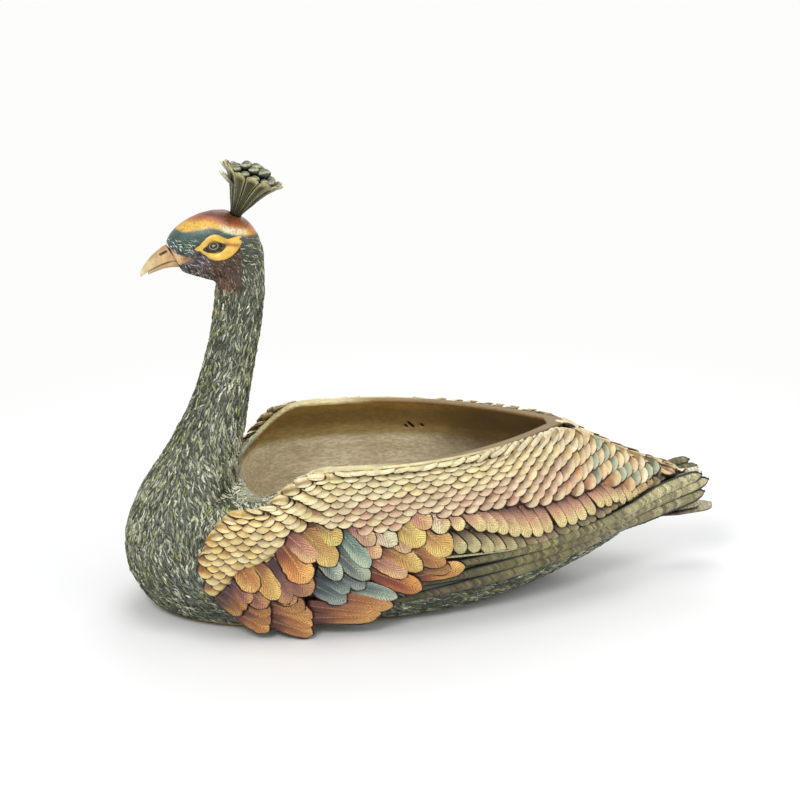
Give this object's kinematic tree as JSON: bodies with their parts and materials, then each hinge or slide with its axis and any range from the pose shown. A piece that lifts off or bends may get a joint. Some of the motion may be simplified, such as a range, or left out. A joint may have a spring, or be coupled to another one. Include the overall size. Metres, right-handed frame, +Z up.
{
  "type": "decorative bird figure bowl",
  "caption": "Open bowl in the shape of a resting crested bird, with an upright neck and head, scaled wing shells, fanned feathers and a long feathered tail.",
  "frame": {"origin": "on the surface the figure stands on, under the middle of its overall length and width", "axes": "+X from the head end towards the tail, +Y to the bird's right, +Z up"},
  "size_m": [0.4126, 0.172, 0.3077],
  "materials": {
    "breast_paint": "dark green paint with ivory and yellow feather tips, satin",
    "bowl_brass": "aged brass inside the bowl and on the rim, satin with patina",
    "base_brass": "satin brass plate under the figure",
    "wing_paint": "pearly gold, cream and rose paint, satin",
    "fan_paint": "pearly copper, gold and teal paint, satin",
    "tail_paint": "olive and khaki paint, satin",
    "crest_paint": "olive paint with ivory petal edges, satin",
    "beak_paint": "pale gold paint, satin",
    "eye_patch_paint": "bright yellow paint, glossy",
    "eye_enamel": "silver-grey enamel with a dark ring, glossy"
  },
  "bodies": {
    "root": {"body_casting": "breast_paint", "base_plate": "base_brass", "head_and_neck": "breast_paint", "upper_beak": "beak_paint", "lower_beak": "beak_paint", "crest": "crest_paint", "eye_left": "eye_enamel", "eye_patch_left": "eye_patch_paint", "eye_right": "eye_enamel", "eye_patch_right": "eye_patch_paint", "wing_left": "wing_paint", "wing_right": "wing_paint", "fan_feather_left_1": "fan_paint", "fan_feather_left_2": "fan_paint", "fan_feather_left_3": "fan_paint", "fan_feather_left_4": "fan_paint", "fan_feather_left_5": "fan_paint", "fan_feather_left_6": "fan_paint", "fan_feather_left_7": "fan_paint", "fan_feather_left_8": "fan_paint", "fan_feather_left_9": "fan_paint", "fan_feather_left_10": "fan_paint", "fan_feather_left_11": "fan_paint", "fan_feather_right_1": "fan_paint", "fan_feather_right_2": "fan_paint", "fan_feather_right_3": "fan_paint", "fan_feather_right_4": "fan_paint", "fan_feather_right_5": "fan_paint", "fan_feather_right_6": "fan_paint", "fan_feather_right_7": "fan_paint", "fan_feather_right_8": "fan_paint", "fan_feather_right_9": "fan_paint", "fan_feather_right_10": "fan_paint", "fan_feather_right_11": "fan_paint", "tail_feather_upper_left": "tail_paint", "tail_feather_middle_left": "tail_paint", "tail_feather_lower_left": "tail_paint", "tail_feather_upper_right": "tail_paint", "tail_feather_middle_right": "tail_paint", "tail_feather_lower_right": "tail_paint", "tail_feather_keel": "tail_paint", "tail_feather_top": "tail_paint"}
  },
  "joints": []
}
